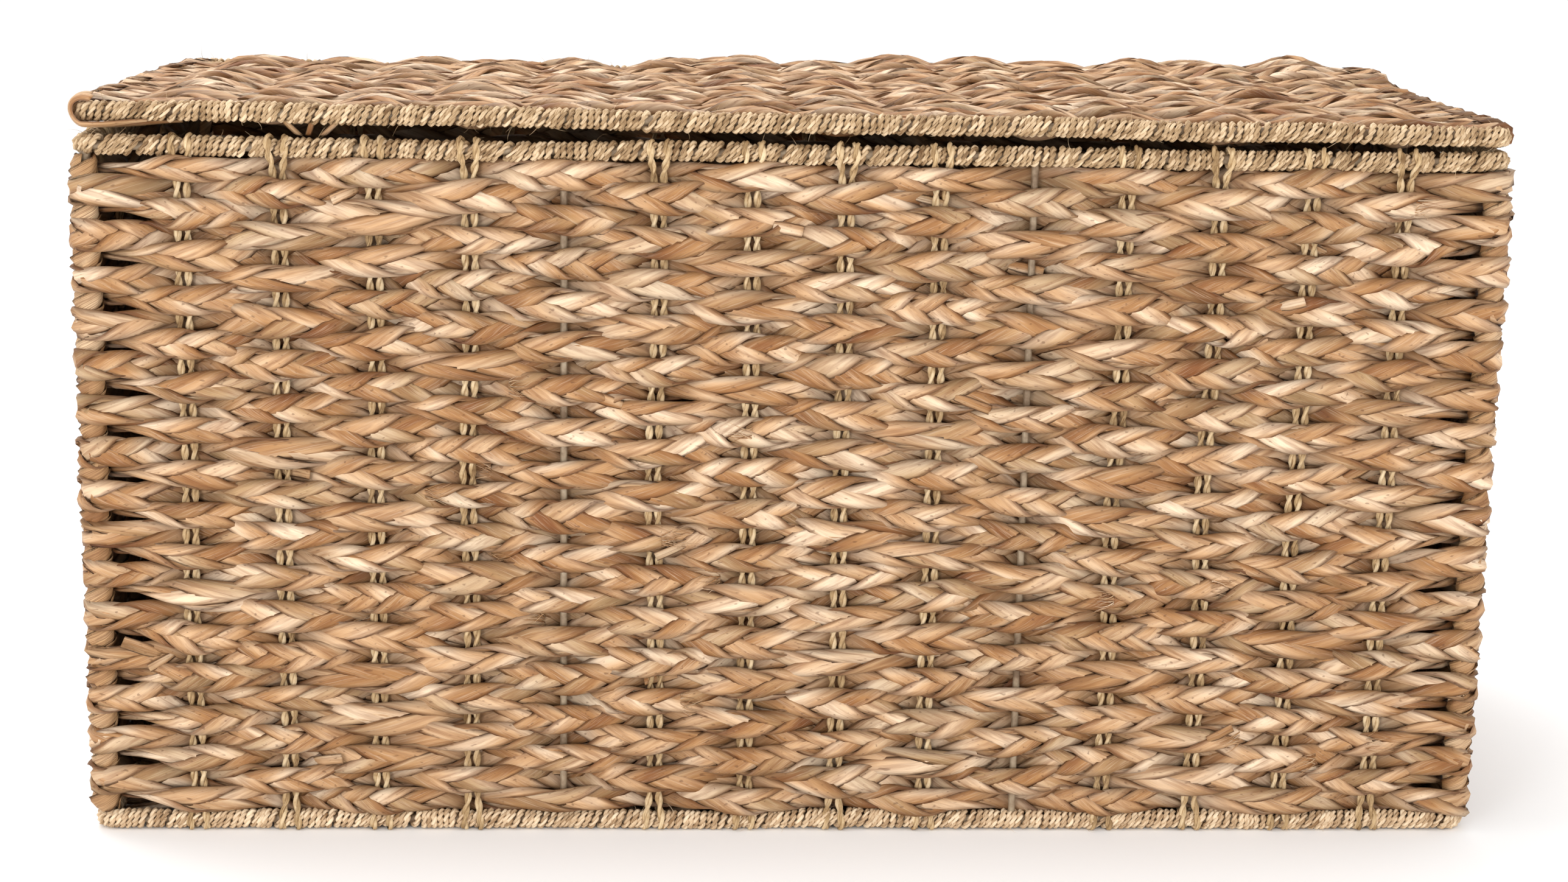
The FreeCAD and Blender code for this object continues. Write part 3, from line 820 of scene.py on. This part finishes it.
def wall_braids():
    for first in range(1, WALL_ROWS + 1, ROWS_PER_PIECE):
        rows = range(first, min(first + ROWS_PER_PIECE, WALL_ROWS + 1))
        weave = Weave()
        for row in rows:
            line, starts_outside = wall_line(row)
            place = wall_placer(line, row)
            plait(weave, line, starts_outside, place, wall_width(row), WALL_RELIEF)
            for add, fewest, limit in ((leaf_end, 1, 4), (wall_hair, 4, 10), (wall_fray, 0, 3)):
                for _ in range(rng.integers(fewest, limit)):
                    add(weave, line, place)
        name = f"wall_plait_{rows[0]:02d}_{rows[-1]:02d}"
        weave.build(name, "trunk", leaf, [f"wall_braid_{row:02d}" for row in rows])


# ---- lid and base panels ----

LID_ROWS_PER_PIECE = 8


def panel_rows(weave, rows, half, end, hooked, relief, **detail):
    """Adds rows of a panel. The two by the hinge lie flatter, to clear the trunk's rim as the lid opens."""
    pitch = 2 * half / PANEL_ROWS
    for row in rows:
        line, over_left = panel_line(row, end, hooked)
        y_row = -half + (row - 0.5) * pitch
        row_relief = min(relief, BASE_RELIEF) if row > PANEL_ROWS - 2 else relief
        plait(weave, line, over_left, panel_placer(line, y_row), panel_width, row_relief, **detail)


# Strips at the lid's front left corner: middle across the rim, bend, starting angle, length of the tail
CORNER_STRIPS = ((-0.1970, 0.0077, 1.0, 0.034), (-0.1895, 0.0083, 1.25, 0.052))
# Strips that hang below the lid's front rim: where each is held, where it ends, half width
LOOSE_STRIPS = ((-0.284, -0.276, 0.0022), (-0.254, -0.263, 0.0020), (-0.268, -0.271, 0.0016))


def corner_leaf(weave):
    """Adds the leaf strips that wrap the lid's front left corner and run on under its front rim."""
    columns = LEAF_COLUMNS
    turn_steps, tail_steps = 22, 9
    tail = np.concatenate((np.zeros(turn_steps), np.linspace(0, 1, tail_steps + 1)[1:]))[:, None]
    for y_middle, radius, start, tail_length in CORNER_STRIPS:
        angle = np.linspace(start, 1.5 * math.pi, turn_steps)
        angle = np.concatenate((angle, np.full(tail_steps, angle[-1])))[:, None]
        taper = 1 - 0.75 * tail ** 2
        reach = radius + 0.0017 * columns * taper + 0.0003 * np.sin(3 * angle)
        x = -HALF_W + 0.0030 + reach * np.cos(angle) + tail_length * tail
        y = y_middle + 0.0036 * columns * taper + 0.0010 * np.sin(angle)
        z = 1.02 * reach * np.sin(angle) + 0.0026 * tail - 0.0005 * np.sin(5 * tail)
        along = radius * angle + tail_length * tail + pattern_start()
        weave.strip(np.stack((x, y, z), axis=-1), 0.0006, along, columns)


def hanging_leaves(weave):
    """Adds loose strips that hang below the lid's front rim."""
    columns = np.array((-1.0, -0.3, 0.3, 1.0))
    for x_top, x_bottom, half in LOOSE_STRIPS:
        t = np.linspace(0, 1, 8)[:, None]
        x = x_top + (x_bottom - x_top) * t + half * columns
        y = -HALF_D + 0.001 + 0.003 * t * t + 0.0006 * columns ** 2
        z = -0.0035 - 0.0085 * t + 0 * columns
        along = 0.012 * t + pattern_start()
        weave.strip(np.stack((x, y, z), axis=-1), 0.0004, along, columns)


def lid_braids():
    for first in range(1, PANEL_ROWS + 1, LID_ROWS_PER_PIECE):
        rows = range(first, min(first + LID_ROWS_PER_PIECE, PANEL_ROWS + 1))
        weave = Weave()
        panel_rows(weave, rows, LID_ROWS_HALF, HALF_W, True, LID_RELIEF)
        if first == 1:
            corner_leaf(weave)
            hanging_leaves(weave)
        name = f"lid_plait_{rows[0]:02d}_{rows[-1]:02d}"
        weave.build(name, "lid", leaf, ["lid_braids"], hang_lid)


def base_braids():
    for name, rows in (("front", range(1, 17)), ("back", range(17, PANEL_ROWS + 1))):
        weave = Weave()
        panel_rows(weave, rows, BASE_ROWS_HALF, BASE_END, False, BASE_RELIEF, steps=COARSE_FOLD_STEPS,
                   columns=COARSE_COLUMNS)
        weave.build(f"base_plait_{name}", "trunk", leaf, ["base_braids"], place_base)


def round_rod(weave, middle, tangent, radius, closed=False):
    """Adds a round rod along level points with level tangents."""
    up = np.broadcast_to((0.0, 0.0, 1.0), middle.shape)
    rings = middle[:, None, :] + radius * circles(np.cross(tangent, up), up, ROD_SIDES)
    along = np.repeat(np.arange(len(middle) + closed)[:, None] * 0.005, ROD_SIDES, axis=1)
    weave.tube(rings, along, np.linspace(0, 1, ROD_SIDES), 1.0, closed)


def lid_rods():
    """The lid's rods, bent with its weave."""
    x, y, heading = rim_line.at(np.linspace(0, rim_line.length, 700, endpoint=False))
    rim = Weave()
    round_rod(rim, level(x, y), level(np.cos(heading), np.sin(heading)), ROD_R, True)
    rim.build("lid_rim_rod_bent", "lid", steel, ["lid_rim_rod"], hang_lid)
    across = Weave()
    y = np.linspace(-HALF_D + 0.002, HALF_D - 0.002, 60)
    tangent = np.broadcast_to((0.0, 1.0, 0.0), (60, 3))
    for number in BARE_STAKES["front"]:
        x = np.full(60, stake_positions("front")[number])
        round_rod(across, level(x, y), tangent, STAKE_ROD_R)
    across.build("lid_cross_rods_bent", "lid", steel, ["lid_cross_rods"], hang_lid)


# ---- cord wound on the rims ----

LID_WINDING_START = 0.003
LID_WINDING_CORNER = 0.016  # how far the lid's windings run on past its corners


def distance_near(x, y):
    """Distance along the rims' line of its point nearest to a place."""
    table = np.linspace(0, rim_line.length, 20000)
    line_x, line_y, _ = rim_line.at(table)
    return table[np.argmin((line_x - x) ** 2 + (line_y - y) ** 2)]


def winding(weave, start, end, gaps, loops, z):
    """Adds cord wound on a rim from start to end, open at the gaps and pressed in under the loops."""
    breaks = [gap + half for gap in sorted(gaps) if start < gap < end
              for half in (-COIL_GAP_HALF, COIL_GAP_HALF)]
    pieces = [start, *breaks, end]
    crowding = wander(rim_line.length, 0.02)
    swelling = wander(rim_line.length, 0.013)
    lean_wave = wander(rim_line.length, 0.09)
    bow = wander(rim_line.length, 0.2)
    twist_wave = wander(rim_line.length, 0.05)
    for low, high in zip(pieces[::2], pieces[1::2]):
        count = max(8, int((high - low) / COIL_PITCH * COIL_STEPS))
        distance = np.linspace(low, high, count)
        x, y, heading = rim_line.at(distance)
        middle = level(x, y, z + 0.0005 * bow(distance))
        tangent = level(np.cos(heading), np.sin(heading))
        outward = level(np.sin(heading), -np.cos(heading))
        up = np.broadcast_to((0.0, 0.0, 1.0), (count, 3))
        outer_distance = distance + COIL_R * heading
        angle = TURN * outer_distance / COIL_PITCH + COIL_CROWDING * crowding(distance)
        radial = np.cos(angle)[:, None] * outward + np.sin(angle)[:, None] * up
        lean = COIL_R * (COIL_LEAN + 0.2 * lean_wave(distance)) * np.sin(angle)
        middle = middle + lean[:, None] * tangent
        radius = COIL_R + 0.00024 * swelling(distance)
        for loop in loops:
            radius = radius - LOOP_PRESS * smooth_step(0.0052, 0.0036, np.abs(distance - loop))
        along = COIL_R * angle
        twist = TURN * along / PLY_TWIST + 1.2 * twist_wave(distance)
        ply_r = PLY_R * (1 + 0.09 * swelling(distance * 2.0))
        weave.cord(middle + radius[:, None] * radial, radial, tangent, twist, PLY_OFFSET, ply_r, 5, along)
        for spot in rng.integers(0, count, int((high - low) / 0.009)):
            away = radial[spot] + rng.uniform(-0.6, 0.6, 3)
            root = middle[spot] + (COIL_R + PLY_OFFSET) * radial[spot]
            reach = rng.uniform(0.003, 0.011) * unit(away + rng.uniform(-2, 2) * tangent[spot])
            hair(weave, root, reach, rng.uniform(-0.0012, 0.0012, 3))


def rim_windings():
    links = [distance_near(x, HALF_D) for x in LINK_X]
    loops = [distance_near(*wall_place(side, position))
             for side in SIDES for position in cord_positions(side)]
    middle = distance_near(HALF_W, HALF_D - RIM_BEND_R)
    halves = (("front", 0.0, middle), ("back", middle, rim_line.length))
    lid_runs = (("front", LID_WINDING_START, distance_near(HALF_W, -HALF_D + LID_WINDING_CORNER)),
                ("back", *(distance_near(x, HALF_D - LID_WINDING_CORNER) for x in (HALF_W, -HALF_W))))
    for rim, body, z, parts, gaps, pressed, grass, move in (
            ("top", "trunk", Z_TOP, halves, links, loops, rim_grass, above_floor),
            ("bottom", "trunk", Z_BOTTOM, halves, [], loops, low_rim_grass, above_floor),
            ("lid", "lid", 0.0, lid_runs, links, [], rim_grass, hang_lid)):
        for part, start, end in parts:
            weave = Weave()
            winding(weave, start, end, gaps, pressed, z)
            weave.build(f"{rim}_rim_winding_{part}", body, grass, [f"{rim}_rim_cord"], move)


# ---- doubled cords ----

def resampled(points, step):
    """The same line with points a fixed step apart, and the distance of each."""
    distance = np.concatenate(([0.0], np.cumsum(np.linalg.norm(np.diff(points, axis=0), axis=1))))
    even = np.linspace(0, distance[-1], max(3, int(distance[-1] / step)))
    return np.column_stack([np.interp(even, distance, column) for column in points.T]), even


def loop_over(z, up):
    """Half a turn of cord over a rim from its outside to its inside, as spread, outward and height."""
    angle = np.linspace(0, math.pi, 13)
    spread = LOOP_SPREAD - 0.0014 * smooth_step(0.5, 1.0, angle / math.pi)
    return np.column_stack((spread, LOOP_REACH * np.cos(angle), z + up * LOOP_RISE * np.sin(angle)))


def leg_line(sway):
    """One leg of a stake cord from inside the bottom rim to inside the top one."""
    bottom = loop_over(Z_BOTTOM, -1)[::-1]
    heights = np.linspace(Z_BOTTOM, Z_TOP, 90)[1:-1]
    reach = np.minimum(heights - Z_BOTTOM, Z_TOP - heights)
    out = LOOP_REACH * smooth_step(0.010, 0.0, reach)
    spread = LEG_OFFSET + (LOOP_SPREAD - LEG_OFFSET) * smooth_step(0.013, 0.001, reach)
    middle = np.column_stack((spread, out, heights))
    points = np.vstack((bottom, middle, loop_over(Z_TOP, 1)))
    z = points[:, 2]
    return points, LEG_SWAY * sway(z) * np.sin(math.pi * (z - Z_BOTTOM) / (Z_TOP - Z_BOTTOM))


def leg(weave, points, second, step, sides):
    """Adds one leg of cord along points that bend in the plane square to second."""
    even, distance = resampled(points, step)
    tangent = unit(np.gradient(even, axis=0))
    second = np.broadcast_to(second, even.shape)
    first = unit(np.cross(second, tangent))
    twist = TURN * distance / LEG_TWIST + rng.uniform(0, TURN)
    weave.cord(even, first, second, twist, LEG_PLY_OFFSET, LEG_PLY_R, sides, distance + pattern_start())


def stake_cords():
    for side in SIDES:
        weave = Weave()
        along = np.array((*ALONG[side], 0.0))
        outward = np.array((*OUTWARD[side], 0.0))
        for position in cord_positions(side):
            foot = np.array((*wall_place(side, position), 0.0))
            lean = wander(0.8, 0.3)
            for sign in (-1, 1):
                local, shift = leg_line(lean)
                points = foot + (sign * local[:, :1] + shift[:, None]) * along + local[:, 1:2] * outward
                points[:, 2] += local[:, 2]
                leg(weave, points, along, LEG_STEP, 5)
        weave.build(f"stake_cords_{side}_twisted", "trunk", stake_grass,
                    [f"stake_cords_{side}"], above_floor)


def flat_cords(name, node, body, reach, move):
    """The doubled cords that cross the lid or the base."""
    weave = Weave()
    y = np.linspace(-reach, reach, 60)
    for x in cord_positions("front"):
        for sign in (-1, 1):
            leg(weave, level(np.full(60, x + sign * LEG_OFFSET), y), (1.0, 0.0, 0.0), 0.0026, 4)
    weave.build(name, body, stake_grass, [node], move)


# ---- leaf wound on the corner posts ----

POST_LEAF_PITCH = 0.024
POST_LEAF_HALF = 0.0074
POST_LEAF_R = 0.0048
POST_LUMP = 0.0028  # swelling of the leaf where a braid passes inside the post


def post_leaves():
    """Two leaf strips wound up each post between the rims' windings."""
    low = Z_BOTTOM + 0.0052
    high = Z_TOP - 0.0048
    columns = np.array((-1.0, -0.6, 0.0, 0.6, 1.0))
    turns = (high - low) / POST_LEAF_PITCH
    for (name, (sign_x, sign_y)), (count, _, _) in zip(CORNERS.items(), CORNER_PINCHES):
        weave = Weave()
        lump_rows = [row_height(row) for row in range(1, WALL_ROWS + 1) if (row + count) % 2 == 1]
        lump_sizes = rng.uniform(0.75, 1.15, len(lump_rows))
        for start in (0.0, math.pi):
            unevenness = wander(1.0, 0.015)
            angle = np.linspace(0, TURN * turns, int(28 * turns))[:, None]
            z = low + POST_LEAF_HALF * columns + angle * POST_LEAF_PITCH / TURN
            z = np.clip(z, low, high)
            lump = sum(size * np.exp(-((z - height) / 0.0056) ** 2)
                       for height, size in zip(lump_rows, lump_sizes))
            radius = POST_LEAF_R + POST_LUMP * lump + 0.0006 * columns
            radius = radius + 0.0005 * unevenness(angle * 0.008 + 0.01 * columns)
            x = sign_x * (POST_X + 0.001 * lump) + radius * np.cos(angle + start)
            y = sign_y * (POST_Y + 0.001 * lump) + radius * np.sin(angle + start)
            along = angle * 0.006 + pattern_start()
            # Painted shade along each strip's lower edge, where the turn below covers it.
            groove_shade = smooth_step(-1.05, -0.6, columns)
            weave.strip(np.stack((x, y, z), axis=-1), 0.0004, along, columns, groove_shade)
        weave.build(f"post_wrap_{name}", "trunk", wound_leaf, [f"post_leaf_{name}"])


# ---- light, floor and camera ----

def area_light(name, place, target, size, power):
    lamp = bpy.data.lights.new(name, "AREA")
    lamp.size = size
    lamp.energy = power
    made = add_object(name, lamp)
    made.location = place
    made.rotation_euler = (Vector(target) - Vector(place)).to_track_quat("-Z", "Y").to_euler()


def studio():
    mesh = bpy.data.meshes.new("floor")
    half = 30.0
    mesh.from_pydata([(half * x, half * y, 0) for x, y in CORNERS.values()], [], [(0, 1, 2, 3)])
    paper = Nodes("paper")
    paper.shader.inputs["Base Color"].default_value = (0.95, 0.95, 0.95, 1.0)
    paper.shader.inputs["Roughness"].default_value = 0.9
    mesh.materials.append(paper.material)
    floor = add_object("floor", mesh)
    floor.location.z = -0.0002

    world = bpy.data.worlds.new("studio")
    scene.world = world
    world.use_nodes = True
    background = world.node_tree.nodes["Background"]
    background.inputs["Color"].default_value = (1.0, 1.0, 1.0, 1.0)
    background.inputs["Strength"].default_value = 1.1
    area_light("key", (-1.7, -2.7, 0.6), (0, 0, 0.1), 1.0, 36)
    area_light("fill", (2.0, -2.5, 0.5), (0, 0, 0.1), 1.0, 22)
    area_light("top", (-0.6, 0.7, 2.5), (0, 0, 0.4), 1.8, 46)
    scene.view_settings.view_transform = "Standard"


def camera():
    data = bpy.data.cameras.new("camera")
    data.sensor_width = 36.0
    data.lens = 61.12
    made = add_object("camera", data)
    turn = (Matrix.Rotation(math.radians(-2.852), 4, "Z") @ Matrix.Rotation(math.radians(-11.953), 4, "X")
            @ Matrix.Rotation(math.radians(-1.037), 4, "Y") @ Matrix.Rotation(math.radians(90), 4, "X"))
    made.matrix_world = Matrix.Translation((-0.0798, -1.6664, 0.5427)) @ turn
    scene.camera = made


# ---- build ----

camera()
studio()
wall_braids()
lid_braids()
base_braids()
rim_windings()
stake_cords()
lid_rods()
flat_cords("lid_cords_twisted", "lid_cords", "lid", LID_CORD_REACH, hang_lid)
flat_cords("base_cords_twisted", "base_cords", "trunk", BASE_CORD_REACH, place_base)
post_leaves()

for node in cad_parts.values():
    if not node.hide_render:
        for slot in node.material_slots:
            slot.material = steel
